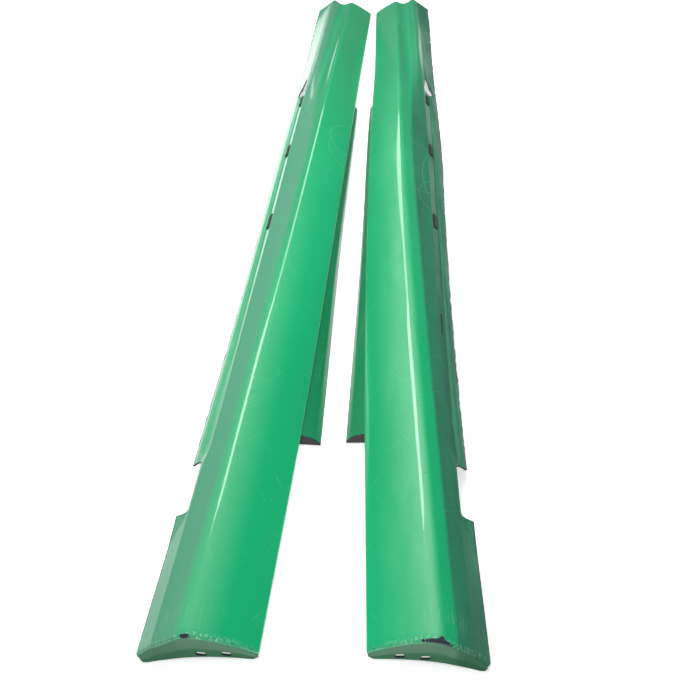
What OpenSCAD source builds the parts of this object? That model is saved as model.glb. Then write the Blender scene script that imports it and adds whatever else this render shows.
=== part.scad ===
// A pair of moulded side skirts for a car, left and right, laid out on the ground with their
// outer faces up and their lower edges towards each other.
// Each skirt is shaped along its crest, the sharp line between the broad lower face and the
// shoulder above it. Every line of the skirt is a smooth curve through six stations, spaced
// evenly from the near end (share 0) to the far end (share 1).

/* [Overall] */
// Length of each skirt along its crest
skirt_length = 2200; // [1700:10:2800]
// Greatest height of the crest above the ground
crest_height = 87; // [70:1:105]
// Greatest width from the crest to the lower edge of the face
face_width = 93; // [76:1:114]
// Greatest width from the crest to the edge of the upper flange
upper_width = 104; // [86:1:126]
// Wall thickness of the painted cover
wall = 3; // [2:0.1:4]

/* [Placing] */
// Angle that each skirt turns in towards the other, in degrees
toe_in = 2.4; // [0:0.1:4]
// Gap between the lower edges of the two skirts at their far ends
end_gap = 14; // [6:1:60]
// Distance that the right skirt lies further back than the left one
stagger = 7; // [0:1:40]

/* [Face] */
// Sideways bow of the crest at its middle
crest_bow = 9; // [0:1:20]
// Greatest height of the face's lower edge above the ground
sill_lift = 51; // [40:1:58]
// Bulge of the broad face above a straight line
face_bulge = 5; // [0:0.5:10]
// Half-width of the rounding along the crest
crest_round = 5; // [3:0.5:9]
// Depth of the return lip under the lower edge of the face
lip_depth = 5; // [3:0.5:8]

/* [Shoulder] */
// Height of the shoulder crease, where the upper flange turns down
shoulder_height = 60; // [48:1:66]
// Depth of the scoop beside the crest at the far end
scoop_depth = 7; // [0:0.5:9]
// Depth of the hollow between the crest and the shoulder, away from the scoop
slope_hollow = 2.5; // [0:0.5:4]
// Height that the second ridge gains at the far end
ridge_rise = 9; // [3:1:12]
// Distance from the second ridge to the shoulder crease
ridge_inset = 15; // [11:1:20]

/* [Upper flange] */
// Greatest height of the flange's outer edge above the ground
flange_height = 38; // [30:1:44]
// Greatest width of the rim outside the channel
rim_width = 18; // [14:1:22]
// Greatest width of the channel
channel_width = 19; // [16:1:24]
// Depth of the channel below the flange
channel_depth = 5; // [2:0.5:7]
// Length of the notch in the flange near the near end
notch_length = 94; // [60:1:130]
// Distance of the notch's near side from the near end
notch_start = 196; // [140:1:220]
// Length of the three-cornered window in the channel
window_length = 80; // [60:5:120]
// Width of the three-cornered window
window_width = 34; // [24:1:36]

/* [Clips] */
// Length of each clip slot
slot_length = 36; // [28:1:48]
// Width of each clip slot
slot_width = 8; // [6:0.5:10]
// Play of a clip in its slot, each way along the skirt
clip_play = 4; // [1:0.5:6]
// Length of a clip's head
clip_head_length = 46; // [40:1:60]
// Width of a clip's head
clip_head_width = 11; // [9:0.5:12]
// Clearance between a clip and the cover
clip_clear = 0.5; // [0.4:0.05:0.8]

/* [End plates] */
// Thickness of the end plates
plate_thick = 3; // [2:0.5:5]
// Length of the two oval screw holes in the near plate
hole_length = 14; // [12:0.5:22]
// Width of the oval screw holes
hole_width = 7; // [6:0.5:12]
// Distance between the two oval holes
hole_spacing = 32; // [26:1:44]
// Distance of the first oval hole from the crest
hole_inset = 18; // [16:1:32]
// Rise of the arched lower edge of the near plate
plate_arch = 6; // [4:1:20]

/* [Lower flange] */
// Thickness of the lower flange
flange_wall = 2.5; // [2:0.5:4]
// Greatest width that the lower flange reaches out past the face
flange_reach = 30; // [20:1:36]
// Greatest height of the lower flange's free edge above the ground
reach_rise = 22; // [8:1:28]

/* [Edge seal] */
// Width of the rubber seal on the flange's edge
seal_width = 5; // [3:0.5:8]
// Thickness of the rubber seal
seal_thick = 4; // [3:0.5:6]

/* [Hidden] */

paint = [0.10, 0.55, 0.36];
paint_shade = [0.07, 0.42, 0.28];
black = [0.05, 0.05, 0.055];
rubber = [0.16, 0.18, 0.16];

// Shape of each line as shares of its greatest size, one share per station
bow_shape = [0, -0.78, -1, -0.89, -0.55, 0];
crest_shape = [0.76, 0.93, 1, 0.95, 0.79, 0.5];
face_shape = [1, 0.95, 0.88, 0.8, 0.69, 0.66];
sill_shape = [0.3, 0.57, 1, 0.98, 0.29, 0.13];
bulge_shape = [1, 1, 1, 0.8, 0.5, 0.3];
upper_shape = [0.6, 0.625, 0.76, 0.93, 0.955, 1];
flange_shape = [0.53, 1, 0.68, 0.25, 0.21, 0.5];
shoulder_shape = [0.68, 1, 0.97, 0.87, 0.78, 0.7];
rim_shape = [0.6, 0.5, 0.5, 0.83, 0.67, 1];
channel_shape = [0.6, 0.68, 0.95, 1, 0.95, 0.84];
reach_shape = [1.6, 0.9, 0.4, 0.2, 0.1, 0.08];
rise_shape = [0.15, 0.15, 0.68, 1, 0.4, 0.2];

// Where the features sit, as shares of the length
channel_share = [0.125, 0.15];
scoop_share = [0.56, 0.82];
window_share = 0.712;
clip_shares = [0.429, 0.568, 0.69];
plain_slot_share = 0.277;
flange_share = [0.171, 0.68];
seal_share = [0.15, 0.965];
rib_shares = [0.06, 0.22, 0.34, 0.49, 0.63, 0.9];

channel_end_share = [0.712, 0.74];
slant_shares = [0.12, 0.9];

// Sideways slope of each end cut
near_slant = -0.122;
far_slant = -0.05;

// Steps along a skirt and across its face
stations = 44;
strip_stations = 34;
face_steps = 7;
round_steps = 48;

// Smaller details of the section
scoop_centre = 0.48;
scoop_spread = 0.4;
ridge_half = 0.04;
lip_tuck = 1.2;
notch_gap = 4;
plate_foot = 8;
plate_corner = [1, 0.4];
hole_tilt = 12;
hole_margin = 3;
hole_drop = 1;
fold_share = 0.42;
fold_out = [-3, 3.5];
stop_tuck = [14, -4];
rib_depth = 12;
clip_head = 2;
clip_waist = 3;
clip_barb = 2;
clip_tail = 8;
eps = 0.05;

// A smooth curve through the station values v, read at share t
function padded(v) = concat([2 * v[0] - v[1]], v, [2 * v[len(v) - 1] - v[len(v) - 2]]);
function spline(a, b, c, d, f) =
    b + f / 2 * (c - a + f * (2 * a - 5 * b + 4 * c - d + f * (3 * (b - c) + d - a)));
function read_at(g, x) =
    let (i = min(floor(x), len(g) - 4), f = x - i) spline(g[i], g[i + 1], g[i + 2], g[i + 3], f);
function along(v, t) = read_at(padded(v), max(0, min(1, t)) * (len(v) - 1));
function ramp(t, span) =
    let (x = max(0, min(1, (t - span[0]) / (span[1] - span[0])))) x * x * (3 - 2 * x);
function mix(a, b, f) = a + (b - a) * f;
function unit(v) = v / norm(v);

// The main lines of the section, [width out from the near crest, height]
function crest(t) = [crest_bow * along(bow_shape, t), crest_height * along(crest_shape, t)];
function lower_edge(t) = [crest(t)[0] - face_width * along(face_shape, t),
                          sill_lift * along(sill_shape, t)];
function upper_edge(t) = [crest(t)[0] + upper_width * along(upper_shape, t),
                          flange_height * along(flange_shape, t)];
function shoulder(t) =
    let (w = rim_width * along(rim_shape, t) + channel_width * along(channel_shape, t))
    [upper_edge(t)[0] - w, shoulder_height * along(shoulder_shape, t)];
function rim_share(t) = let (r = rim_width * along(rim_shape, t))
    1 - r / (r + channel_width * along(channel_shape, t));
function scoop(t) = ramp(t, scoop_share);
function depth_at(t) = channel_depth * ramp(t, channel_share) * (1 - ramp(t, channel_end_share));
function down(a, b) = let (d = unit(b - a)) [-d[1], d[0]] * -1;

// Points along the section's outer side, from the lower lip over the crest to the upper edge
function face_points(t) =
    let (a = lower_edge(t), b = crest(t), n = -down(a, b))
    [for (k = [0 : face_steps - 1]) let (f = k / face_steps)
        mix(a, b, f * 0.97) + n * face_bulge * along(bulge_shape, t) * 4 * f * (1 - f)];
function crest_points(t) =
    let (c = crest(t), a = unit(lower_edge(t) - c), b = unit(shoulder(t) - c))
    [c + a * crest_round * 0.8, c + (a + b) * crest_round * 0.18, c + b * crest_round];
function slope_points(t) =
    let (a = crest(t), b = shoulder(t), s = scoop(t), w = b[0] - a[0], g = 1 - ridge_inset / w)
    [for (f = [0.28 * g, 0.5 * g, 0.75 * g, g - ridge_half, g + ridge_half,
               (1 + g + ridge_half) / 2])
        let (dip = -scoop_depth * s * max(0, 1 - pow((f / g - scoop_centre) / scoop_spread, 2)),
             rise = ridge_rise * s * (f < g ? pow(f / g, 4) : 1 - pow((f - g) / (1 - g), 1.2)),
             hollow = -slope_hollow * (1 - s) * 4 * f * (1 - f))
        mix(a, b, f) + [0, dip + rise + hollow]];
function flange_points(t) =
    let (a = shoulder(t), b = upper_edge(t), m = rim_share(t), q = down(a, b) * depth_at(t))
    [a, mix(a, b, m * 0.12) + q, mix(a, b, m * 0.9) + q, mix(a, b, m), mix(a, b, (m + 1) / 2), b];
function lip_point(t) = lower_edge(t) + [lip_tuck, -lip_depth];
function outer(t) = concat([lip_point(t)], face_points(t), crest_points(t), slope_points(t),
                           flange_points(t));

// The inner side, one wall thickness inside
function inward(p, i) =
    let (a = p[max(0, i - 1)], b = p[min(len(p) - 1, i + 1)]) down(a, b);
function offset_by(p, w) = [for (i = [0 : len(p) - 1]) p[i] + inward(p, i) * w];
function ring(t) = let (p = outer(t), q = offset_by(p, wall), n = len(q))
    concat(p, [for (i = [0 : n - 1]) q[n - 1 - i]]);

// The ends are cut at a slant, which fades out along the skirt
function slant(t) = near_slant * (1 - ramp(t, [0, slant_shares[0]]))
    + far_slant * ramp(t, [slant_shares[1], 1]);
function place(p, t) = [p[0], t * skirt_length + slant(t) * p[0], p[1]];

// A closed tube through a list of rings that all have the same number of points
module loft(rings) {
    n = len(rings[0]);
    m = len(rings);
    sides = [for (i = [0 : m - 2], j = [0 : n - 1])
        let (a = i * n + j, b = i * n + (j + 1) % n) each [[a, b, a + n], [b, b + n, a + n]]];
    caps = [[for (j = [0 : n - 1]) n - 1 - j], [for (j = [0 : n - 1]) (m - 1) * n + j]];
    polyhedron(points = [for (r = rings) each r], faces = concat(sides, caps), convexity = 8);
}

// Middle of the channel's floor, as a point of the skirt
function floor_middle(t) =
    let (a = shoulder(t), b = upper_edge(t),
         c = mix(a, b, rim_share(t) * 0.51) + down(a, b) * depth_at(t))
    [c[0], t * skirt_length, c[1]];

// Runs its children on the channel's floor at share t: x across it, y along it, z out of it
module on_channel(t) {
    h = 0.01;
    d = unit(upper_edge(t) - shoulder(t));
    y = unit(floor_middle(t + h) - floor_middle(t - h));
    z = unit(cross([d[0], 0, d[1]], y));
    x = cross(y, z);
    o = floor_middle(t);
    multmatrix([[x[0], y[0], z[0], o[0]], [x[1], y[1], z[1], o[1]], [x[2], y[2], z[2], o[2]],
                [0, 0, 0, 1]])
        children();
}

module oval(length, width, height) {
    run = (length - width) / 2;
    for (y = [-run, run])
        translate([0, y, -height / 2])
            cylinder(d = width, h = height, $fn = round_steps);
    translate([-width / 2, -run, -height / 2])
        cube([width, 2 * run, height]);
}

module skirt_shell(plain_slot) {
    difference() {
        loft([for (i = [0 : stations]) let (t = i / stations, r = ring(t))
            [for (p = r) place(p, t)]]);
        for (t = clip_shares)
            on_channel(t) oval(slot_length, slot_width, 6 * wall);
        if (plain_slot)
            on_channel(plain_slot_share) oval(slot_length * 1.6, slot_width / 2, 6 * wall);
        window_cut();
        notch_cut();
    }
}

module window_cut() {
    on_channel(window_share)
        translate([0, 0, -3 * wall])
            linear_extrude(6 * wall)
                polygon([[-window_width * 0.3, 0], [window_width * 0.7, 0],
                         [window_width * 0.62, window_length * 0.25],
                         [-window_width * 0.3, window_length]]);
}

module notch_cut() {
    t = (notch_start + notch_length / 2) / skirt_length;
    x = shoulder(t)[0] + notch_gap;
    translate([x, notch_start, -eps])
        cube([upper_width, notch_length, crest_height]);
}

module skirt_cover(plain_slot) {
    color(paint) skirt_shell(plain_slot);
}

// A plate across the end of the skirt, with an arched lower edge
module end_plate(t, slope, arch) {
    p = outer(t);
    k = 1 / cos(atan(slope));
    low = p[0];
    high = p[len(p) - 1];
    steps = 12;
    under = [for (i = [0 : steps]) let (f = i / steps)
        [mix(high[0] - plate_foot, low[0] + plate_foot, f), arch * 4 * f * (1 - f)]];
    translate([0, t * skirt_length, 0])
        rotate([90, 0, atan(slope)])
            translate([0, 0, -plate_thick * (t > 0.5 ? 1 : 0)])
                linear_extrude(plate_thick)
                    polygon([for (q = concat(p, [corner(high, -1)], under, [corner(low, 1)]))
                        [q[0] * k, q[1]]]);
}

function corner(p, way) = [p[0] + way * plate_corner[0], p[1] * plate_corner[1]];

module near_plate() {
    color(paint_shade)
        difference() {
            end_plate(0, near_slant, plate_arch);
            for (i = [0, 1])
                translate([-hole_inset - i * hole_spacing, 0, hole_height(i)])
                    rotate([0, 0, atan(near_slant)])
                        rotate([90, 90 - hole_tilt, 0])
                            oval(hole_length, hole_width, 8 * plate_thick);
        }
}
function hole_height(i) = plate_arch + hole_width / 2 + hole_margin - hole_drop * i;

module far_plate() {
    color(paint_shade) end_plate(1, far_slant, plate_arch / 2);
}

// Outer line of the lower flange on the ground side
function reach_edge(t) = [lower_edge(t)[0] - flange_reach * along(reach_shape, t),
                          reach_rise * along(rise_shape, t)];
function reach_ring(t) =
    let (a = lip_point(t) + [-lip_tuck / 2, -eps], b = reach_edge(t), m = mix(a, b, fold_share) + fold_out,
         p = [b, m, a], q = offset_by(p, flange_wall))
    concat(p, [q[2], q[1], q[0]]);

module lower_flange() {
    steps = strip_stations;
    color(paint_shade)
        loft([for (i = [0 : steps]) let (t = mix(flange_share[0], flange_share[1], i / steps))
            [for (p = reach_ring(t)) place(p, t)]]);
}

// The dark stop that closes the near end of the lower flange
module flange_stop() {
    t = flange_share[0];
    r = reach_ring(t);
    color(black)
        translate([0, t * skirt_length, 0])
            rotate([90, 0, 0])
                linear_extrude(flange_wall)
                    polygon([r[0], r[1], r[2], r[2] + stop_tuck, [r[2][0] + stop_tuck[0], r[0][1]]]);
}

// A rubber seal along the outer edge of the upper flange
function seal_ring(t) =
    let (b = upper_edge(t), d = unit(b - shoulder(t)), n = -down(shoulder(t), b),
         c = b - n * wall / 2)
    [c - n * seal_thick / 2, c + n * seal_thick / 2, c + n * seal_thick / 4 + d * seal_width,
     c - n * seal_thick / 4 + d * seal_width];

module edge_seal() {
    steps = strip_stations;
    color(rubber)
        loft([for (i = [0 : steps]) let (t = mix(seal_share[0], seal_share[1], i / steps))
            [for (p = seal_ring(t)) place(p, t)]]);
}

// Shallow webs that stiffen the cover from inside
function rib_points(t) =
    let (p = outer(t), q = offset_by(p, wall), n = len(q), r = [for (i = [2 : n - 8]) q[i]],
         m = len(r))
    concat(r, [for (i = [0 : m - 1]) let (k = m - 1 - i)
        r[k] - [0, rib_depth * sin(180 * k / (m - 1)) + 1]]);

module ribs() {
    color(paint_shade)
        for (t = rib_shares)
            translate([0, t * skirt_length + wall / 2 + slant(t) * crest(t)[0], 0])
                rotate([90, 0, 0])
                    linear_extrude(wall)
                        polygon(rib_points(t));
}

// A black retaining clip, which floats along its slot
module clip(t) {
    stem_length = slot_length - 2 * clip_play;
    stem_width = slot_width - 2 * clip_clear;
    stem_height = wall + 4 * clip_clear;
    barb_top = -wall - 2 * clip_clear;
    color(black)
        on_channel(t) {
            difference() {
                translate([-clip_head_width / 2, -clip_head_length / 2, clip_clear])
                    cube([clip_head_width, clip_head_length, clip_head]);
                for (s = [-1, 1])
                    translate([s * (clip_head_width / 2 + clip_waist), 0, clip_clear - eps])
                        cylinder(d = clip_head_width, h = clip_head + 2 * eps,
                                 $fn = round_steps);
            }
            translate([0, 0, -wall / 2])
                oval(stem_length, stem_width, stem_height);
            translate([-slot_width / 2 - clip_barb, -stem_length / 4, barb_top - clip_barb])
                cube([slot_width + 2 * clip_barb, stem_length / 2, clip_barb]);
            translate([0, 0, barb_top - clip_tail / 2])
                oval(stem_length / 2, stem_width * 0.6, clip_tail);
        }
}

// Crest spacing at the near ends that leaves end_gap between the far ends
function half_spacing() = end_gap / 2 + face_width * face_shape[5] * cos(toe_in)
    + skirt_length * sin(toe_in);
function near_y() = near_slant * upper_edge(0)[0] * cos(toe_in) + upper_edge(0)[0] * sin(toe_in)
    - plate_thick;
function far_y() = (skirt_length + far_slant * lower_edge(1)[0]) * cos(toe_in)
    + lower_edge(1)[0] * sin(toe_in) + plate_thick;

module one_side(shift) {
    translate([half_spacing(), shift - (near_y() + far_y()) / 2, 0])
        rotate([0, 0, toe_in])
            children();
}

module right_side() {
    one_side(stagger / 2) children();
}

module left_side() {
    mirror([1, 0, 0]) one_side(-stagger / 2) children();
}

module left_cover() { left_side() skirt_cover(false); }
module left_near_plate() { left_side() near_plate(); }
module left_far_plate() { left_side() far_plate(); }
module left_lower_flange() { left_side() lower_flange(); }
module left_flange_stop() { left_side() flange_stop(); }
module left_edge_seal() { left_side() edge_seal(); }
module left_ribs() { left_side() ribs(); }
module left_clip_1() { left_side() clip(clip_shares[0]); }
module left_clip_2() { left_side() clip(clip_shares[1]); }
module left_clip_3() { left_side() clip(clip_shares[2]); }
module right_cover() { right_side() skirt_cover(true); }
module right_near_plate() { right_side() near_plate(); }
module right_far_plate() { right_side() far_plate(); }
module right_lower_flange() { right_side() lower_flange(); }
module right_flange_stop() { right_side() flange_stop(); }
module right_edge_seal() { right_side() edge_seal(); }
module right_ribs() { right_side() ribs(); }
module right_clip_1() { right_side() clip(clip_shares[0]); }
module right_clip_2() { right_side() clip(clip_shares[1]); }
module right_clip_3() { right_side() clip(clip_shares[2]); }

left_cover();
left_near_plate();
left_far_plate();
left_lower_flange();
left_flange_stop();
left_edge_seal();
left_ribs();
left_clip_1();
left_clip_2();
left_clip_3();
right_cover();
right_near_plate();
right_far_plate();
right_lower_flange();
right_flange_stop();
right_edge_seal();
right_ribs();
right_clip_1();
right_clip_2();
right_clip_3();
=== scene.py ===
"""A pair of gloss-painted car side skirts, lying face up on a pale studio floor."""

import math

import bpy
import numpy as np
from mathutils import Matrix, Vector


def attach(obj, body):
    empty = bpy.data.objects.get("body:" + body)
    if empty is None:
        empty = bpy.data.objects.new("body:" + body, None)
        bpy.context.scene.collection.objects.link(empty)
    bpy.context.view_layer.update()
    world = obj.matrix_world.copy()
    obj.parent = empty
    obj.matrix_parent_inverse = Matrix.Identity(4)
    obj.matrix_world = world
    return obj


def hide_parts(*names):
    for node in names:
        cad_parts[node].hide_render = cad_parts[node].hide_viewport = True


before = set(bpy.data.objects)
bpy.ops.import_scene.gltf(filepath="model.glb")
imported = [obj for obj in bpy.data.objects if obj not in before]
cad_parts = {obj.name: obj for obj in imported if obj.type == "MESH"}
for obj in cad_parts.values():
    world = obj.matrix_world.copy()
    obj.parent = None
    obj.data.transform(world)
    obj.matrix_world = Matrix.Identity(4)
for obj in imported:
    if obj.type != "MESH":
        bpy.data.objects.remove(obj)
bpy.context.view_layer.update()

bl_info = {
    "name": "Side Skirt Pair",
    "version": (1, 0, 0),
    "blender": (4, 5, 0),
    "location": "3D View > Sidebar > Side Skirts",
    "description": "Painted covers, flanges, seals and clips of a pair of car side skirts",
    "category": "Object",
}

MM = 0.001
SIDES = ("left", "right")

# Each line of a skirt as shares of its greatest size, at six stations from the near end
# to the far end.
BOW = (0, -0.78, -1, -0.89, -0.55, 0)
CREST = (0.76, 0.93, 1, 0.95, 0.79, 0.5)
FACE = (1, 0.95, 0.88, 0.8, 0.69, 0.66)
SILL = (0.3, 0.57, 1, 0.98, 0.29, 0.13)
BULGE = (1, 0.95, 0.8, 0.55, 0.4, 0.3)
UPPER = (0.6, 0.625, 0.76, 0.93, 0.955, 1)
FLANGE = (0.53, 1, 0.68, 0.25, 0.21, 0.5)
SHOULDER = (0.68, 1, 0.97, 0.87, 0.78, 0.7)
RIM = (0.6, 0.5, 0.5, 0.83, 0.67, 1)
CHANNEL = (0.6, 0.68, 0.95, 1, 0.95, 0.84)
REACH = (1.6, 0.9, 0.4, 0.2, 0.1, 0.08)
RISE = (0.15, 0.15, 0.68, 1, 0.4, 0.2)

# Where the features sit, as shares of the length.
CHANNEL_START = (0.125, 0.15)
CHANNEL_END = (0.712, 0.74)
SCOOP = (0.56, 0.82)
WINDOW = 0.712
CLIPS = (0.429, 0.568, 0.69)
PLAIN_SLOT = 0.277
FLANGE_RUN = (0.171, 0.68)
SEAL_RUN = (0.15, 0.965)
NEAR_SLANT = -0.122
FAR_SLANT = -0.05

# Nicks in the rim of each skirt: share of the length, length and width in mm.
RIM_NICKS = {
    "left": ((0.905, 13, 7), (0.742, 6, 3), (0.60, 5, 3)),
    "right": ((0.885, 17, 12), (0.642, 6, 3), (0.51, 5, 3)),
}

# Points on the slope between the crest and the shoulder.
SLOPE_POINTS = 26

# The visible slots are this much longer than the frame's, in mm, so a clip stops clear of them.
SLOT_ROOM = 0.8

# The camera's place in metres, its turns in degrees and its lens in mm.
CAMERA_AT = (0.1006, -1.6266, 1.014)
CAMERA_HEADING, CAMERA_DOWN, CAMERA_ROLL = 4.40, 41.92, -1.786
CAMERA_LENS = 43.46


def span(name, description, millimetres):
    """A length property, stored in metres."""
    return bpy.props.FloatProperty(
        name=name, description=description, default=millimetres * MM, unit="LENGTH", precision=4)


def share(name, description, default):
    """A plain share property from 0 to 1."""
    return bpy.props.FloatProperty(
        name=name, description=description, default=default, min=0, max=1, subtype="FACTOR")


def tint(name, description, default):
    """A colour property in linear light."""
    return bpy.props.FloatVectorProperty(
        name=name, description=description, default=default, size=4, subtype="COLOR",
        min=0, max=1)


def power(name, description, default):
    """The power of a light."""
    return bpy.props.FloatProperty(
        name=name, description=description, default=default, unit="POWER")


class SkirtSizes(bpy.types.PropertyGroup):
    """Sizes of each skirt and of the way the two lie."""

    length: span("Length", "Length of each skirt along its crest", 2200)
    crest_height: span("Crest height", "Greatest height of the crest", 87)
    face_width: span("Face width", "Greatest width from the crest to the lower edge", 93)
    upper_width: span("Upper width", "Greatest width from the crest to the rim's edge", 104)
    wall: span("Wall", "Thickness of the moulded cover", 3)
    crest_bow: span("Crest bow", "Sideways bow of the crest at its middle", 9)
    sill_lift: span("Sill lift", "Greatest height of the face's lower edge", 51)
    face_bulge: span("Face bulge", "Bulge of the face above a straight line", 5)
    crest_round: span("Crest rounding", "Reach of the rounding on each side of the crest", 16)
    lip_depth: span("Lip depth", "Depth of the return lip under the lower edge", 5)
    shoulder_height: span("Shoulder height", "Height of the shoulder crease", 60)
    scoop_depth: span("Scoop depth", "Depth of the scoop at the far end", 7)
    slope_hollow: span("Slope hollow", "Depth of the hollow above the shoulder", 2.5)
    ridge_rise: span("Ridge rise", "Height that the second ridge gains", 9)
    ridge_inset: span("Ridge inset", "Distance from the second ridge to the shoulder", 15)
    flange_height: span("Flange height", "Greatest height of the rim's edge", 38)
    rim_width: span("Rim width", "Greatest width of the rim outside the channel", 18)
    channel_width: span("Channel width", "Greatest width of the channel", 19)
    channel_depth: span("Channel depth", "Depth of the channel", 5)
    notch_start: span("Notch start", "Distance of the notch from the near end", 196)
    notch_length: span("Notch length", "Length of the notch in the flange", 94)
    window_length: span("Window length", "Length of the three-cornered window", 80)
    window_width: span("Window width", "Width of the three-cornered window", 34)
    slot_length: span("Slot length", "Length of each clip slot", 36)
    slot_width: span("Slot width", "Width of each clip slot", 8)
    plate_thick: span("End thickness", "Thickness of the end faces", 3)
    plate_arch: span("End arch", "Rise of the arched lower edge of the near end", 6)
    end_round: span("End rounding", "Radius where the cover turns into its end face", 4.5)
    hole_length: span("Hole length", "Length of the oval screw holes", 14)
    hole_width: span("Hole width", "Width of the oval screw holes", 7)
    hole_inset: span("Hole inset", "Distance of the first screw hole from the crest", 18)
    hole_spacing: span("Hole spacing", "Distance between the screw holes", 32)
    flange_wall: span("Lower flange wall", "Thickness of the lower flange", 2.5)
    flange_reach: span("Lower flange reach", "Width of the lower flange past the face", 30)
    reach_rise: span("Lower flange rise", "Greatest height of its free edge", 22)
    seal_width: span("Seal width", "Width of the flaking strip on the rim", 5)
    seal_thick: span("Seal thickness", "Thickness of the flaking strip", 4)
    end_gap: span("End gap", "Gap between the two skirts at their far ends", 14)
    stagger: span("Stagger", "How much further back the right skirt lies", 7)
    toe_in: bpy.props.FloatProperty(
        name="Toe-in", description="Angle that each skirt turns in towards the other",
        default=math.radians(2.4), subtype="ANGLE")

    def mm(self, name):
        """One of the sizes in millimetres."""
        return getattr(self, name) / MM


class SkirtFinish(bpy.types.PropertyGroup):
    """Colours and wear of the skirts."""

    paint: tint("Paint", "Green top coat", (0.002, 0.430, 0.165, 1))
    paint_deep: tint("Deep paint", "The top coat where it is thickest", (0.001, 0.370, 0.140, 1))
    # The thin paint colour is overspray on bare plastic, and on the end faces it is partly painted
    # shade.
    thin_paint_and_shade: tint("Thin paint", "Paint on the ends and flanges", (0.001, 0.115, 0.032, 1))
    # The right slope's colour is painted shade with a faint painted grey reflection.
    slope_shade_sheen: tint("Dull film", "Weathered paint on the slope of the right skirt",
               (0.026, 0.158, 0.093, 1))
    # The left slope's colour is a painted sheen: a pale painted reflection over paint in some
    # shade.
    slope_sheen: tint("Haze", "Pale haze on the slope of the left skirt", (0.095, 0.355, 0.215, 1))
    pale: tint("Pale tone", "Tone near the crest that stands in for glare",
               (0.150, 0.560, 0.290, 1))
    dust: tint("Dust", "Pale dust in the channel and on the rim", (0.300, 0.500, 0.400, 1))
    scuff: tint("Scuff", "Pale scratches in the clear coat", (0.520, 0.780, 0.620, 1))
    plastic: tint("Plastic", "Bare moulded plastic under the paint", (0.040, 0.045, 0.075, 1))
    flake: tint("Flake", "Flaking strip along the rim", (0.330, 0.600, 0.480, 1))
    scratches: share("Scratches", "Strength of the fine scratches", 0.3)
    gloss: share("Gloss", "Weight of the clear coat", 1.0)


class StudioLook(bpy.types.PropertyGroup):
    """Strengths of the studio lights."""

    sky: bpy.props.FloatProperty(
        name="Surround", description="Brightness of the even surround", default=0.16)
    strip: power("Strip", "Power of the strip light above the gap", 18)
    side: power("Side panel", "Power of the broad panel on the left", 30)
    front: power("High panels", "Power of the high panel; the far one has a quarter", 52)
    floor: tint("Floor", "Colour of the studio floor", (0.93, 0.93, 0.93, 1))


# ---------------------------------------------------------------- lines of a skirt

def along(shape, t):
    """Catmull-Rom curve through evenly spaced stations: half of the cubic that passes through
    the two middle stations with slopes of half the difference of their neighbours. A straight
    step is added before the first and after the last station."""
    v = np.asarray(shape, float)
    g = np.concatenate([[2 * v[0] - v[1]], v, [2 * v[-1] - v[-2]]])
    x = np.clip(t, 0, 1) * (len(v) - 1)
    i = np.minimum(x.astype(int), len(v) - 2)
    f = x - i
    a, b, c, d = g[i], g[i + 1], g[i + 2], g[i + 3]
    return b + f / 2 * (c - a + f * (2 * a - 5 * b + 4 * c - d + f * (3 * (b - c) + d - a)))


def ramp(x, low, high):
    """Smooth step from 0 at low to 1 at high: 3 f squared less 2 f cubed."""
    f = np.clip((x - low) / (high - low), 0, 1)
    return f * f * (3 - 2 * f)


def unit(v):
    """Vectors along the last axis, each divided by its length."""
    return v / np.linalg.norm(v, axis=-1, keepdims=True)


def mix(a, b, f):
    """The point at share f of the way from a to b."""
    return a + (b - a) * f


def left_of(a, b):
    """Unit vector square to the step from a to b, turned anticlockwise, which is outwards."""
    d = unit(b - a)
    return np.stack([-d[..., 1], d[..., 0]], -1)


class Lines:
    """The main lines of a skirt at shares t of its length, as [width out, height] in mm."""

    def __init__(self, sizes, t):
        mm = sizes.mm
        self.t = t = np.asarray(t, float)
        self.s = t * mm("length")
        self.crest = np.stack([mm("crest_bow") * along(BOW, t),
                               mm("crest_height") * along(CREST, t)], -1)
        self.lower = np.stack([self.crest[..., 0] - mm("face_width") * along(FACE, t),
                               mm("sill_lift") * along(SILL, t)], -1)
        self.upper = np.stack([self.crest[..., 0] + mm("upper_width") * along(UPPER, t),
                               mm("flange_height") * along(FLANGE, t)], -1)
        rim = mm("rim_width") * along(RIM, t)
        channel = mm("channel_width") * along(CHANNEL, t)
        self.shoulder = np.stack([self.upper[..., 0] - rim - channel,
                                  mm("shoulder_height") * along(SHOULDER, t)], -1)
        self.rim_share = 1 - rim / (rim + channel)
        self.depth = mm("channel_depth") * ramp(t, *CHANNEL_START) * (1 - ramp(t, *CHANNEL_END))
        self.scoop = ramp(t, *SCOOP)
        self.slant = NEAR_SLANT * (1 - ramp(t, 0, 0.12)) + FAR_SLANT * ramp(t, 0.9, 1)


def laid(at, section):
    """Rows of sections as the skirt's own [out, along, up], leaning with its slant."""
    out = section[..., 0]
    return np.stack([out, at.s[:, None] + at.slant[:, None] * out, section[..., 1]], -1)


def channel_frame(sizes, t):
    """Origin on the middle of the channel's floor at share t, and the unit directions across
    it, along it and out of it, in the skirt's own [out, along, up]."""
    at = Lines(sizes, [t - 0.01, t, t + 0.01])
    floor = mix(at.shoulder, at.upper, (at.rim_share * 0.51)[:, None])
    floor = floor - left_of(at.shoulder, at.upper) * at.depth[:, None]
    line = np.stack([floor[:, 0], at.s, floor[:, 1]], -1)
    over = unit(at.upper[1] - at.shoulder[1])
    y = unit(line[2] - line[0])
    z = unit(np.cross([over[0], 0, over[1]], y))
    return line[1], np.cross(y, z), y, z


def resting_place(sizes):
    """Distance of the near crest from the middle plane, and of the near end from the centre."""
    mm, turn = sizes.mm, sizes.toe_in
    low, high = -mm("face_width") * FACE[-1], mm("upper_width") * UPPER[0]
    out = mm("end_gap") / 2 - low * math.cos(turn) + mm("length") * math.sin(turn)
    near = NEAR_SLANT * high * math.cos(turn) + high * math.sin(turn) - mm("plate_thick")
    far = ((mm("length") + FAR_SLANT * low) * math.cos(turn) + low * math.sin(turn)
           + mm("plate_thick"))
    return out, -(near + far) / 2


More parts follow.
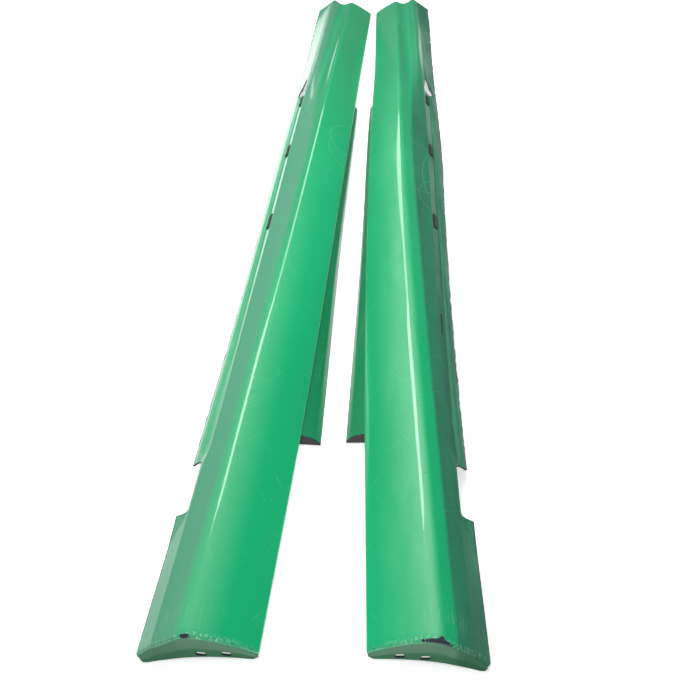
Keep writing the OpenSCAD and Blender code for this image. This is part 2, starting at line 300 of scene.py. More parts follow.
def place(sizes, side, own):
    """From a skirt's own [out, along, up] in mm to metres in the shared frame: a turn by the
    toe-in about the near crest, a move to its resting place, and a mirror for the left one."""
    out, back = resting_place(sizes)
    c, s = math.cos(sizes.toe_in), math.sin(sizes.toe_in)
    half = sizes.mm("stagger") / 2 * (1 if side == "right" else -1)
    x = out + c * own[..., 0] - s * own[..., 1]
    y = back + half + s * own[..., 0] + c * own[..., 1]
    x = x if side == "right" else -x
    return np.stack([x, y, own[..., 2]], -1) * MM


def own_place(sizes, side, points):
    """The way back of place: from metres in the shared frame to the skirt's own mm."""
    out, back = resting_place(sizes)
    c, s = math.cos(sizes.toe_in), math.sin(sizes.toe_in)
    half = sizes.mm("stagger") / 2 * (1 if side == "right" else -1)
    x = points[:, 0] / MM * (1 if side == "right" else -1) - out
    y = points[:, 1] / MM - back - half
    return np.stack([c * x + s * y, -s * x + c * y, points[:, 2] / MM], -1)


# ---------------------------------------------------------------- meshes

def new_object(name, mesh):
    """Links a mesh to the scene as an object at the origin."""
    thing = bpy.data.objects.new(name, mesh)
    bpy.context.scene.collection.objects.link(thing)
    return thing


def sheet_mesh(name, points, flip):
    """Quads between neighbouring points of a grid of rows and columns. They face up when rows
    run away from the near end and columns run outwards, and flip turns them over."""
    rows, columns = points.shape[:2]
    i = np.arange(rows * columns).reshape(rows, columns)
    quads = np.stack([i[:-1, :-1], i[:-1, 1:], i[1:, 1:], i[1:, :-1]], -1).reshape(-1, 4)
    mesh = bpy.data.meshes.new(name)
    faces = quads[:, ::-1] if flip else quads
    mesh.from_pydata(points.reshape(-1, 3).tolist(), [], faces.tolist())
    return mesh


def tube_mesh(name, points, flip):
    """Quads round a closed ring at each row, with a flat face across each end."""
    rows, columns = points.shape[:2]
    i = np.arange(rows * columns).reshape(rows, columns)
    j = np.roll(i, -1, axis=1)
    quads = np.stack([i[:-1], j[:-1], j[1:], i[1:]], -1).reshape(-1, 4)
    faces = quads.tolist() + [i[0, ::-1].tolist(), i[-1].tolist()]
    if flip:
        faces = [face[::-1] for face in faces]
    mesh = bpy.data.meshes.new(name)
    mesh.from_pydata(points.reshape(-1, 3).tolist(), [], faces)
    return mesh


def rounded(points, reach, bends, runs):
    """Rows of polylines with each inner corner replaced by a quadratic Bezier arc. The arc
    starts and ends at reach from the corner, on its two sides, and bulges to the corner: its
    weights are (1-f) squared, 2f(1-f) and f squared. bends is the number of points in each
    arc, and runs the number added on each straight before a corner."""
    step = np.diff(points, axis=1)
    size = np.linalg.norm(step, axis=-1)
    want = reach[:, :-1] + reach[:, 1:]
    fit = np.minimum(1, 0.98 * size / np.maximum(want, 1e-6))
    parts = [points[:, :1]]
    for k in range(1, points.shape[1]):
        last = k == points.shape[1] - 1
        back = 0 * size[:, k - 1] if last else reach[:, k] * fit[:, k - 1]
        start = points[:, k] - step[:, k - 1] * (back / size[:, k - 1])[:, None]
        if runs[k]:
            f = np.linspace(0, 1, runs[k] + 2)[1:-1][None, :, None]
            parts.append(mix(parts[-1][:, -1:], start[:, None], f))
        if last or bends[k] < 2:
            parts.append(points[:, k:k + 1])
            continue
        end = points[:, k] + step[:, k] * (reach[:, k] * fit[:, k] / size[:, k])[:, None]
        f = np.linspace(0, 1, bends[k])[None, :, None]
        parts.append((1 - f) ** 2 * start[:, None] + 2 * f * (1 - f) * points[:, k:k + 1]
                     + f ** 2 * end[:, None])
    return np.concatenate(parts, 1)


def slope_curve(sizes, lines, f):
    """The surface from the crest (f 0) to the shoulder (f 1). To a straight line it adds a
    parabola-shaped scoop, a second ridge that is the soft lesser of a fourth power rising to
    the ridge and a power of 1.2 falling from it, and a shallow hollow where there is no scoop."""
    mm = sizes.mm
    a, b, s = lines.crest[:, None], lines.shoulder[:, None], lines.scoop[:, None]
    g = 1 - mm("ridge_inset") / (b - a)[..., 0]
    dip = -mm("scoop_depth") * s * ramp(1 - ((f / g - 0.48) / 0.42) ** 2, 0, 1.6) * 1.25
    fall = (f - g) / (1 - g)
    rising = np.minimum(f / g, 2) ** 4
    falling = 1 - np.sign(fall) * np.abs(fall) ** 1.2
    rise = -np.log(np.exp(-22 * rising) + np.exp(-22 * falling)) / 22
    bump = mm("ridge_rise") * s * (rise - rise[:, :1] * (1 - f))
    hollow = -mm("slope_hollow") * (1 - s) * 4 * f * (1 - f)
    base = mix(a, b, f[..., None])
    return base + np.stack([0 * f, dip + bump + hollow], -1)


def cover_section(sizes, t):
    """The cover's outer line at shares t, from the lower lip over the face, crest, shoulder
    and channel to the rim's edge. Returns rows of [width out, height] in mm."""
    mm, lines, rows = sizes.mm, Lines(sizes, t), len(t)
    lower, crest, shoulder, upper = lines.lower, lines.crest, lines.shoulder, lines.upper
    full = np.ones(rows)
    lip = lower + [1.2, -mm("lip_depth")]
    bulge = 2 * mm("face_bulge") * along(BULGE, lines.t)
    belly = mix(lower, crest, 0.5) + left_of(lower, crest) * bulge[:, None]
    crest_reach = mm("crest_round") * (1 - 0.6 * ramp(lines.t, 0.2, 0.8))
    shoulder_reach = 3 + 13 * (1 - ramp(lines.t, 0.08, 0.3))
    width = shoulder[:, 0] - crest[:, 0]
    f0, f1 = crest_reach * 0.82 / width, 1 - shoulder_reach * 0.82 / width
    shares = mix(f0[:, None], f1[:, None], np.linspace(0, 1, SLOPE_POINTS)[None])
    slope = slope_curve(sizes, lines, shares)
    m = lines.rim_share[:, None]
    sunk = -left_of(shoulder, upper) * lines.depth[:, None]
    proud = left_of(shoulder, upper) * (lines.depth / mm("channel_depth"))[:, None]
    corners = [lip, lower, belly, crest, *np.moveaxis(slope, 1, 0), shoulder,
               mix(shoulder, upper, 0.12 * m) + sunk, mix(shoulder, upper, 0.9 * m) + sunk,
               mix(shoulder, upper, m), mix(shoulder, upper, (m + 1) / 2) + proud, upper]
    straight = np.linalg.norm(belly - lower, axis=-1)
    reach = [0, 3 * full, straight * 0.8, crest_reach, *[0 * full] * SLOPE_POINTS, shoulder_reach,
             1.6 * full, 1.6 * full, 1.6 * full, 3 * full, 0]
    bends = [1, 6, 22, 9, *[1] * SLOPE_POINTS, 6, 4, 4, 4, 4, 1]
    runs = [0, 1, 1, 1, *[0] * SLOPE_POINTS, 0, 1, 3, 1, 2, 3]
    reach = np.stack([r * full for r in reach], 1)
    return rounded(np.stack(corners, 1), reach, bends, runs)


def drawn_in(section, amount):
    """A section made narrower and lower by some mm, which keeps its points in order."""
    x, z = section[..., 0], section[..., 1]
    low, high = x.min(1, keepdims=True), x.max(1, keepdims=True)
    x = mix(low + 0.8 * amount, high - 0.8 * amount, (x - low) / (high - low))
    return np.stack([x, np.maximum(z - amount, 0.5)], -1)


def end_foot(section, arch, corner):
    """The lower line of an end face, below each point of its section: a parabola with rounded
    outer corners."""
    x = section[..., 0]
    low, high = x.min(1, keepdims=True) + 1, x.max(1, keepdims=True) - 1
    x = np.clip(x, low, high)
    foot = 8
    f = np.clip((x - low - foot) / (high - low - 2 * foot), 0, 1)
    edge = np.minimum(x - low, high - x)
    bend = corner - np.sqrt(np.maximum(corner ** 2 - np.maximum(corner - edge, 0) ** 2, 0))
    return np.stack([x, 0.3 + arch * 4 * f * (1 - f) + bend], -1)


def cover_points(sizes):
    """The cover's outer surface as a grid. Each row is one section of the skirt. The rows go up
    the near end face, round its edge on a quarter circle, along the skirt, round the far edge
    and down the far end face. Returns points in the skirt's own [out, along, up]."""
    mm = sizes.mm
    plate, bevel, total = mm("plate_thick"), mm("end_round"), mm("length")
    s = np.concatenate([np.arange(6, 310, 5.5), np.arange(312, total - 4, 8.2)])
    body = cover_section(sizes, s / total)
    turns = np.radians(np.linspace(90, 0, 6))
    ups = np.array([0, 0.12, 0.26, 0.34, 0.38, 0.55, 0.75, 0.92])
    near = cover_section(sizes, np.zeros(1))
    far = cover_section(sizes, np.ones(1))

    def end_rows(section, radius, arch, corner, outward, lean):
        ring = [drawn_in(section, radius * (1 - math.cos(a))) for a in turns]
        push = [outward * (plate - radius + radius * math.sin(a)) + 0 * section[..., 0]
                for a in turns]
        top, foot = ring[0], end_foot(ring[0], arch, corner)
        tall = np.clip((top - foot)[..., 1] / 50, 0, 1)
        under = lean * np.interp(ups, [0, 0.34, 1], [0.65, 1, 0])[:, None] * tall
        face = mix(foot, top, ups[:, None, None])
        cap = outward * (plate - under)
        return np.concatenate([face, *ring]), np.concatenate([cap, *push])

    near_rows, near_push = end_rows(near, bevel, mm("plate_arch"), 6, -1, 5)
    far_rows, far_push = end_rows(far, bevel * 0.7, mm("plate_arch") / 2, 5, 1, 3)
    section = np.concatenate([near_rows, body, far_rows[::-1]])
    ahead = np.concatenate([near_push, np.repeat(s[:, None], body.shape[1], 1),
                            total + far_push[::-1]])
    t = np.concatenate([np.zeros(len(near_rows)), s / total, np.ones(len(far_rows))])
    lines = Lines(sizes, t)
    out, up = section[..., 0], section[..., 1]
    hinge = lines.shoulder[:, :1] + 4
    spread = (out - hinge) / (lines.upper[:, :1] - hinge)
    before = (mm("notch_start") - ahead) / 46
    fold = np.clip(spread - np.maximum(before, 0), 0, 1) * (before < 1)
    fade = 1 - ramp(ahead, mm("notch_start") + 4, mm("notch_start") + mm("notch_length") - 8)
    up = up + 6 * fold * fade * (ahead > 100)
    return np.stack([out, ahead + lines.slant[:, None] * out, up], -1)


# ---------------------------------------------------------------- cut-outs

def oval(length, width, turns=14):
    """A stadium outline: two half circles joined by straights, length along y."""
    a = np.radians(np.linspace(0, 180, turns))
    half = (length - width) / 2
    cap = np.stack([np.cos(a), np.sin(a)], -1) * width / 2 + [0, half]
    return np.concatenate([cap, -cap])


def soft_polygon(corners, reach):
    """A closed outline with every corner rounded by a Bezier arc."""
    p = np.asarray(corners, float)
    ring = np.concatenate([p, p[:2]])[None]
    line = rounded(ring, np.full(ring.shape[:2], float(reach)), [1] + [6] * len(p) + [1],
                   [0] * (len(p) + 2))[0]
    return line[1:-1]


def prism(outline, origin, axes, low, high):
    """An outline swept from low to high along the third axis. Returns points and faces."""
    x, y, z = (np.asarray(a, float) for a in axes)
    flat = origin + outline[:, :1] * x + outline[:, 1:] * y
    n = len(outline)
    i = np.arange(n)
    j = (i + 1) % n
    sides = np.stack([i, j, j + n, i + n], -1).tolist()
    faces = sides + [i[::-1].tolist(), (i + n).tolist()]
    return np.concatenate([flat + z * low, flat + z * high]), faces


def cutters(sizes, side):
    """Everything that is cut out of one cover: clip slots, the window, the notch, the screw
    holes and the nicks in the rim. Returns one mesh of separate prisms."""
    mm = sizes.mm
    parts = []
    for t in CLIPS:
        o, *axes = channel_frame(sizes, t)
        slot = oval(mm("slot_length") + SLOT_ROOM, mm("slot_width"))
        parts.append(prism(slot, o, axes, -12, 12))
    if side == "right":
        o, *axes = channel_frame(sizes, PLAIN_SLOT)
        parts.append(prism(oval(1.6 * mm("slot_length"), mm("slot_width") / 2), o, axes, -12, 12))
    w, l = mm("window_width"), mm("window_length")
    o, *axes = channel_frame(sizes, WINDOW)
    outline = soft_polygon([[-0.3 * w, 0], [0.7 * w, 0], [0.62 * w, 0.25 * l], [-0.3 * w, l]], 5)
    parts.append(prism(outline, o, axes, -14, 14))
    start, run = mm("notch_start"), mm("notch_length")
    at = Lines(sizes, (start + run / 2) / mm("length"))
    inner = at.shoulder[0] + 4
    outline = soft_polygon([[inner, start], [inner + 90, start - 3], [inner + 90, start + run + 3],
                            [inner, start + run]], 7)
    parts.append(prism(outline, np.zeros(3), np.eye(3), -5, 120))
    lean = math.atan(NEAR_SLANT)
    for i in range(2):
        out = -mm("hole_inset") - i * mm("hole_spacing")
        up = mm("plate_arch") + mm("hole_width") / 2 + 3 - i
        tilt = math.radians(12)
        y = np.array([math.cos(tilt) * math.cos(lean), math.cos(tilt) * math.sin(lean),
                      math.sin(tilt)])
        z = np.array([-math.sin(lean), math.cos(lean), 0])
        outline = oval(mm("hole_length"), mm("hole_width"))
        parts.append(prism(outline, np.array([out, NEAR_SLANT * out, up]),
                           (np.cross(y, z), y, z), -14, 14))
    for t, length, width in RIM_NICKS[side]:
        o, x, y, z = channel_frame(sizes, t)
        at = Lines(sizes, t)
        edge = np.array([at.upper[0], at.s, at.upper[1]])
        parts.append(prism(oval(length, width), edge, (x, y, z), -12, 12))
    start, points, faces = 0, [], []
    for corners, own in parts:
        points.append(corners)
        faces += [[k + start for k in (face if side == "right" else face[::-1])] for face in own]
        start += len(corners)
    mesh = bpy.data.meshes.new(side + "_cutters")
    mesh.from_pydata(place(sizes, side, np.concatenate(points)).tolist(), [], faces)
    mesh.polygons.foreach_set("material_index", np.ones(len(faces), np.int32))
    return mesh


def wall_and_cut(thing, thickness, cutter=None):
    """Gives a sheet its wall, cuts it, and keeps the outcome as plain mesh."""
    wall = thing.modifiers.new("wall", "SOLIDIFY")
    wall.thickness = thickness
    wall.offset = -1
    wall.material_offset = 1
    wall.material_offset_rim = 1
    if cutter:
        cut = thing.modifiers.new("cut", "BOOLEAN")
        cut.operation = "DIFFERENCE"
        cut.solver = "MANIFOLD"
        cut.material_mode = "INDEX"
        cut.object = cutter
    depsgraph = bpy.context.evaluated_depsgraph_get()
    bpy.context.view_layer.update()
    mesh = bpy.data.meshes.new_from_object(
        thing.evaluated_get(depsgraph), preserve_all_data_layers=True, depsgraph=depsgraph)
    if len(mesh.polygons) < len(thing.data.polygons):
        raise RuntimeError("The cut-outs left nothing of " + thing.name)
    thing.modifiers.clear()
    thing.data = mesh
    mesh.name = thing.name


def smooth(mesh, degrees):
    """Smooth shading with sharp edges where faces meet at more than this angle."""
    mesh.shade_smooth()
    mesh.set_sharp_from_angle(angle=math.radians(degrees))


def mark(mesh, name, values):
    """Stores one number or one vector at each vertex."""
    vector = values.ndim == 2
    layer = mesh.attributes.new(name, "FLOAT_VECTOR" if vector else "FLOAT", "POINT")
    layer.data.foreach_set("vector" if vector else "value",
                           np.ascontiguousarray(values, np.float32).ravel())


def mark_lie(sizes, side, mesh):
    """Stores where each vertex lies on its skirt. lie holds the distance out from the crest,
    the distance from the near end and the height. edges holds the distances from the lower
    edge, from the rim's edge and past the shoulder. care holds the mask of painted shade and
    sheen on the slopes, how worn the paint is and 1 on the right skirt. Lengths are in metres."""
    points = np.empty(len(mesh.vertices) * 3, np.float32)
    mesh.vertices.foreach_get("co", points)
    own = own_place(sizes, side, points.reshape(-1, 3).astype(float))
    out, ahead, up = own.T
    first = Lines(sizes, ahead / sizes.mm("length"))
    ahead = ahead - first.slant * out
    at = Lines(sizes, ahead / sizes.mm("length"))
    across = out - at.crest[:, 0]
    below = out - at.lower[:, 0]
    inside = at.upper[:, 0] - out
    past = out - at.shoulder[:, 0]
    right = float(side == "right")
    mark(mesh, "lie", np.stack([across, ahead, up], -1) * MM)
    mark(mesh, "edges", np.stack([below, inside, past], -1) * MM)
    # Mask for the slopes: painted shade on the right skirt's slope and a painted sheen on the left
    # one's.
    width = at.shoulder[:, 0] - at.crest[:, 0]
    bound = mix(9 + 11 * right, 0.55 * width, ramp(at.t, 0.5, 0.8))
    far_side = 1 - 0.75 * ramp(at.t, 0.62, 0.85) * (past < 0) * right
    slope_shade_sheen = ramp(across, bound - 7 + 4 * right, bound + 9 - 5 * right) * far_side
    open_end = (1 - right) * 0.75 * (1 - ramp(at.t, 0.11, 0.16))
    slope_shade_sheen = mix(slope_shade_sheen, 0.15 + 0.85 * right + open_end, ramp(past, -2, 3))
    # The ends mask marks the end faces, whose darker tone is partly painted shade.
    drop = [np.interp(out, *cover_section(sizes, np.array([end]))[0].T) - up for end in (0.0, 1.0)]
    near_end, far_end = ramp(drop[0], 3, 5.5) * (ahead < 9), ramp(drop[1], 3, 5.5) * (
        ahead > sizes.mm("length") - 6)
    mark(mesh, "ends", np.maximum(near_end, far_end))
    edge = np.exp(-np.maximum(ahead - 0.5, 0) / 1.1) * np.exp(-np.maximum(drop[0] - 4, 0) / 1.2)
    reach = np.exp(-np.abs(across + 4) / (26 if right else 9)) * (across < 22)
    down = at.crest[:, 1] - up
    corner = np.exp(-((across - 2 * right) ** 2 + ahead ** 2 + down ** 2) / (60 if right else 9))
    low = 0.25 * np.exp(-np.maximum(below, 0) / 3) + 0.12
    rim = np.exp(-np.maximum(inside, 0) / 2.2) * 0.75
    rub = np.exp(-np.maximum(ahead - 1, 0) / 3.5) * ramp(-drop[0], -5, -2)
    mark(mesh, "rub", rub * (0.35 + 0.65 * np.exp(-np.abs(across + 22) / 30)))
    rim = rim * (1 - near_end) * ramp(ahead, 8, 60)
    wear = np.clip(np.maximum.reduce([edge * (0.75 * reach + low), corner, rim]), 0, 1)
    mark(mesh, "care", np.stack([np.clip(slope_shade_sheen, 0, 1), wear, np.full(len(out), right)], -1))


# ---------------------------------------------------------------- finishes

def arithmetic(operation, swapped=False):
    """A method that adds one Math node for a reading and another value."""
    def method(self, other):
        return self.worked(operation, *((other, self) if swapped else (self, other)))
    return method


class Reading:
    """A number that a node gives. Arithmetic on it adds Math nodes."""

    def __init__(self, finish, socket):
        self.finish, self.socket = finish, socket

    def worked(self, operation, *values):
        return self.finish.node("ShaderNodeMath", {"operation": operation}, dict(enumerate(values)))

    __add__, __radd__ = arithmetic("ADD"), arithmetic("ADD", True)
    __sub__, __rsub__ = arithmetic("SUBTRACT"), arithmetic("SUBTRACT", True)
    __mul__, __rmul__ = arithmetic("MULTIPLY"), arithmetic("MULTIPLY", True)
    __pow__ = arithmetic("POWER")
    least, most = arithmetic("MINIMUM"), arithmetic("MAXIMUM")

    def __abs__(self):
        return self.worked("ABSOLUTE", self)

    def step(self, low, high):
        """Smooth step from 0 at low to 1 at high. It falls if low is above high."""
        return self.finish.node(
            "ShaderNodeMapRange", {"interpolation_type": "SMOOTHSTEP"},
            {"Value": self, "From Min": low, "From Max": high, "To Min": 0.0, "To Max": 1.0})


class Finish:
    """A material under construction, with one Principled surface."""

    def __init__(self, name):
        self.material = bpy.data.materials.new(name)
        self.material.use_nodes = True
        self.tree = self.material.node_tree
        self.tree.nodes.clear()

    def node(self, kind, settings=None, inputs=None, output=0):
        """Adds a node. Its settings come first, then each input's value or link."""
        made = self.tree.nodes.new(kind)
        for name, value in (settings or {}).items():
            setattr(made, name, value)
        for name, value in (inputs or {}).items():
            if isinstance(value, Reading):
                self.tree.links.new(value.socket, made.inputs[name])
            else:
                made.inputs[name].default_value = value
        return Reading(self, made.outputs[output])

    def stored(self, name):
        """A vector stored at the mesh's vertices."""
        return self.node("ShaderNodeAttribute", {"attribute_name": name}, {}, "Vector")

    def stored_number(self, name):
        """A number stored at the mesh's vertices."""
        return self.node("ShaderNodeAttribute", {"attribute_name": name}, {}, "Fac")

    def parts(self, vector):
        """The three numbers of a vector."""
        split = self.node("ShaderNodeSeparateXYZ", {}, {0: vector})
        return [Reading(self, s) for s in split.socket.node.outputs]

    def place(self, vector=None, scale=(1, 1, 1), turn=0.0, move=(0, 0, 0)):
        """A vector turned about z, scaled and moved, from Object coordinates if none is given."""
        vector = vector or self.node("ShaderNodeTexCoord", {}, {}, "Object")
        turned = self.node("ShaderNodeMapping", {"vector_type": "POINT"},
                           {"Vector": vector, "Rotation": (0, 0, turn)}, 0)
        return self.node("ShaderNodeMapping", {"vector_type": "POINT"},
                         {"Vector": turned, "Scale": scale, "Location": move}, 0)

    def noise(self, vector, scale, detail=2.0, roughness=0.5, distortion=0.0):
        """Smooth noise from about 0.25 to 0.75."""
        return self.node("ShaderNodeTexNoise", {"noise_dimensions": "3D"},
                         {"Vector": vector, "Scale": scale, "Detail": detail,
                          "Roughness": roughness, "Distortion": distortion})

    def cells(self, vector, scale):
        """Distance to the nearest of many scattered points."""
        return self.node("ShaderNodeTexVoronoi", {"feature": "F1"},
                         {"Vector": vector, "Scale": scale, "Randomness": 1.0}, "Distance")

    def blend(self, factor, a, b):
        """Colour a turned into colour b by a factor."""
        return self.node("ShaderNodeMix", {"data_type": "RGBA", "clamp_factor": True},
                         {0: factor, 6: a, 7: b}, 2)

    def bump(self, height, strength, distance, normal=None):
        """A normal tilted by the slope of a height."""
        inputs = {"Height": height, "Strength": strength, "Distance": distance}
        if normal:
            inputs["Normal"] = normal
        return self.node("ShaderNodeBump", {}, inputs)

    def surface(self, **inputs):
        """Closes the material with a Principled surface. Names use _ for a space."""
        named = {name.replace("_", " "): value for name, value in inputs.items()}
        shader = self.node("ShaderNodeBsdfPrincipled", {}, named)
        end = self.tree.nodes.new("ShaderNodeOutputMaterial")
        self.tree.links.new(shader.socket, end.inputs["Surface"])
        return self.material


def scratch_lines(f, lie, turn, thin, long, density, seed):
    """Hair-thin marks that run one way: noise squeezed across the marks and drawn out along
    them, kept only where it is highest and where a broad noise lets it through."""
    fine = f.place(lie, (1 / thin, 1 / long, 1.0), turn, (seed, 2.3 * seed, 0))
    broad = f.place(lie, (1, 1, 0.2), turn, (1.7 * seed, seed, 0))
    return f.noise(fine, 1.0, 1.0).step(density, density + 0.045) * f.noise(
        broad, 9.0, 1.0).step(0.5, 0.62)


def arc_scratch(f, across, ahead, centre, radius, thin):
    """A thin curved scratch, where the distance from a centre is close to a radius."""
    x, y = across - centre[0], ahead - centre[1]
    away = (x * x + y * y) ** 0.5
    return abs(away - radius).step(thin, thin * 0.3)


def skirt_paint(look):
    """Gloss paint: solid green under a clear coat, with a pale tone in place of glare, orange
    peel, fine scratches, specks, painted shade and sheen on the slopes, a darker tone on the
    end faces that is partly painted shade, dust and chips on the edges."""
    f = Finish("green_gloss_paint")
    lie, edges, care = f.stored("lie"), f.stored("edges"), f.stored("care")
    across, ahead, _ = f.parts(lie)
    below, inside, past = f.parts(edges)
    slope_shade_sheen, wear, right = f.parts(care)
    here = f.place()

    cloud = f.noise(here, 5.0, 3.0).step(0.3, 0.7)
    colour = f.blend(cloud * 0.5, tuple(look.paint), tuple(look.paint_deep))
    patchy = f.noise(f.place(lie, (3.0, 0.6, 1.0)), 9.0, 4.0, 0.6).step(0.25, 0.75)
    crown = across.step(-0.055, -0.004) * ahead.step(1.3, 0.1) * (0.44 + 0.1 * right)
    crown = crown * (1 - right * across.step(-0.006, 0.007))
    broad = below.step(0.012, 0.05) * ahead.step(2.6, 0.6) * right * (0.12 + 0.3 * patchy)
    broad = broad * across.step(0.007, -0.006)
    pale = (crown + broad).least(0.8) * (1 - ahead.step(0.012, 0.0) * 0.5)
    colour = f.blend(pale, colour, tuple(look.pale))
    # Painted shade on the right slope and a painted sheen on the left slope; the same mask makes
    # the paint rougher and less glossy there.
    slope_light_mask = slope_shade_sheen * (patchy * 0.25 + 0.8)
    colour = f.blend(slope_light_mask, colour, f.blend(right, tuple(look.slope_sheen), tuple(look.slope_shade_sheen)))
    # End faces take a darker tone: partly thin paint, partly painted shade.
    on_end = f.stored_number("ends")
    colour = f.blend(on_end * 0.9, colour, tuple(look.thin_paint_and_shade))

    streaks = f.noise(f.place(lie, (60.0, 2.0, 1.0)), 1.0, 4.0, 0.6)
    grit = f.noise(here, 420.0, 3.0, 0.7)
    settled = past.step(0.0, 0.005) * (streaks * 0.8 + grit * 0.4).step(0.58, 0.82)
    along_rim = inside.step(0.012, 0.002) * grit.step(0.38, 0.62)
    dusty = (settled * 0.2 + along_rim * 0.12 * (1 - 0.7 * right)).least(1.0) * (1 - on_end)
    colour = f.blend(dusty, colour, tuple(look.dust))

    scratches = scratch_lines(f, lie, 0.62, 0.0011, 0.070, 0.70, 3.1)
    scratches = scratches.most(scratch_lines(f, lie, -0.5, 0.0010, 0.060, 0.71, 8.4))
    scratches = scratches.most(scratch_lines(f, lie, 1.35, 0.0012, 0.060, 0.70, 5.7))
    near = ahead.step(0.075, 0.004)
    rising = scratch_lines(f, lie, 0.06, 0.0013, 0.040, 0.62, 12.9) * near
    arcs = arc_scratch(f, across, ahead, (-0.115, 1.28), 0.085, 0.0009)
    arcs = arcs.most(arc_scratch(f, across, ahead, (-0.130, 1.23), 0.098, 0.0007))
    arcs = arcs * across.step(-0.012, -0.022) * (1 - right)
    crossing = arc_scratch(f, across, ahead, (0.015, 1.13), 0.105, 0.0008)
    crossing = crossing.most(arc_scratch(f, across, ahead, (0.11, 1.02), 0.082, 0.0007))
    crossing = crossing.most(arc_scratch(f, across, ahead, (0.34, 1.10), 0.300, 0.0008))
    crossing = crossing * across.step(0.016, 0.022) * past.step(0.001, -0.001) * right
    scored = scratches.most(rising).most(arcs * 0.8).most(crossing) * look.scratches
    scored = scored * below.step(0.0, 0.004) * (1 - on_end)
    colour = f.blend(scored * 0.75, colour, tuple(look.scuff))

    specks = f.cells(here, 46.0).step(0.055, 0.03) * f.noise(here, 7.0, 1.0).step(0.5, 0.56)
    colour = f.blend(specks * 0.8, colour, tuple(look.plastic))
    grazes = f.noise(f.place(lie, (1.0, 0.35, 1.0)), 480.0, 3.0, 0.7).step(0.50, 0.62)
    scrape = f.stored_number("rub").step(0.1, 0.8) * grazes
    colour = f.blend(scrape * 0.6, colour, tuple(look.scuff))
    ragged = f.noise(here, 230.0, 4.0, 0.62)
    chips = (wear + ragged * 0.9).step(0.93, 0.98)
    colour = f.blend(chips, colour, tuple(look.plastic))

    peel = f.noise(here, 260.0, 1.0)
    waves = f.noise(f.place(lie, (3.0, 1.0, 1.0)), 7.0, 2.0)
    normal = f.bump(waves, 0.35, 0.0012)
    normal = f.bump(peel, 0.08, 0.0006, normal)
    normal = f.bump(scored * -0.25 - chips, 0.6, 0.0005, normal)
    rough = 0.34 + slope_light_mask * (0.12 + 0.14 * right) + dusty * 0.3 + scored * 0.2 + chips * 0.25
    coat = (look.gloss * (1 - slope_light_mask * (0.55 + 0.45 * right)) * (1 - dusty * 0.8) * (1 - chips)
            * (1 - on_end * 0.92)).most(0.0)
    return f.surface(Base_Color=colour, Roughness=rough, Coat_Weight=coat, Coat_Roughness=0.06,
                     Coat_IOR=1.5, Specular_IOR_Level=0.22, Normal=normal)


def bare_inside(look):
    """The unpainted inside and cut edges: dark moulded plastic with green overspray."""
    f = Finish("moulded_inside")
    here = f.place()
    spray = f.noise(here, 26.0, 4.0, 0.6).step(0.46, 0.64)
    grain = f.noise(here, 900.0, 2.0)
    colour = f.blend(spray * 0.65, tuple(look.plastic), tuple(look.thin_paint_and_shade))
    return f.surface(Base_Color=colour, Roughness=0.62 + grain * 0.2,
                     Normal=f.bump(grain, 0.25, 0.0003))


def flange_paint(look):
    """Satin paint of the lower flange, darker than the cover's as painted shade, with streaks and
    specks of dust.
    """
    f = Finish("green_flange_paint")
    here = f.place()
    streaks = f.noise(f.place(None, (40.0, 3.0, 40.0)), 1.0, 4.0, 0.6)
    fine = f.noise(here, 320.0, 3.0, 0.65)
    # These greens are darker than the cover's paint: painted shade under the face.
    colour = f.blend(streaks.step(0.35, 0.7) * 0.5, (0.003, 0.240, 0.090, 1),
                     (0.006, 0.190, 0.070, 1))
    colour = f.blend((fine * streaks).step(0.36, 0.48) * 0.25, colour, tuple(look.dust))
    normal = f.bump(f.noise(here, 240.0, 1.0), 0.1, 0.0005)
    return f.surface(Base_Color=colour, Roughness=0.3 + fine * 0.2,
                     Coat_Weight=0.3 - streaks * 0.2, Coat_Roughness=0.08,
                     Specular_IOR_Level=0.3, Normal=normal)


def flaking_strip(look):
    """The strip along the rim: chalky pale green that flakes off in dark spots."""
    f = Finish("flaking_strip")
    here = f.place()
    flakes = f.noise(here, 210.0, 4.0, 0.7)
    lost = f.noise(here, 95.0, 3.0, 0.6).step(0.56, 0.62)
    colour = f.blend(flakes.step(0.35, 0.65), tuple(look.flake), (0.10, 0.36, 0.24, 1))
    colour = f.blend(flakes.step(0.60, 0.70) * 0.8, colour, (0.62, 0.80, 0.72, 1))
    colour = f.blend(lost, colour, tuple(look.plastic))
    return f.surface(Base_Color=colour, Roughness=0.55 + flakes * 0.3,
                     Normal=f.bump(flakes - lost, 0.7, 0.0008))


def black_plastic(look):
    """Matt black moulded plastic with fine grain, dust and specks of green overspray."""
    f = Finish("black_plastic")
    here = f.place()
    grain = f.noise(here, 1100.0, 2.0, 0.6)
    dust = f.noise(here, 120.0, 4.0, 0.65).step(0.52, 0.75)
    colour = f.blend(dust * 0.4, (0.012, 0.013, 0.015, 1), (0.12, 0.14, 0.13, 1))
    green = f.noise(here, 60.0, 2.0).step(0.58, 0.66)
    colour = f.blend(green * 0.5, colour, tuple(look.thin_paint_and_shade))
    return f.surface(Base_Color=colour, Roughness=0.45 + grain * 0.25 + dust * 0.2,
                     Normal=f.bump(grain, 0.35, 0.0003))


def studio_floor(look):
    """Smooth pale floor with a barely seen grain."""
    f = Finish("studio_floor")
    here = f.place()
    grain = f.noise(here, 35.0, 2.0)
    colour = f.blend(grain * 0.2, tuple(look.floor), (0.90, 0.90, 0.90, 1))
    return f.surface(Base_Color=colour, Roughness=0.9 + grain * 0.05,
                     Emission_Color=(1, 1, 1, 1), Emission_Strength=0.6)


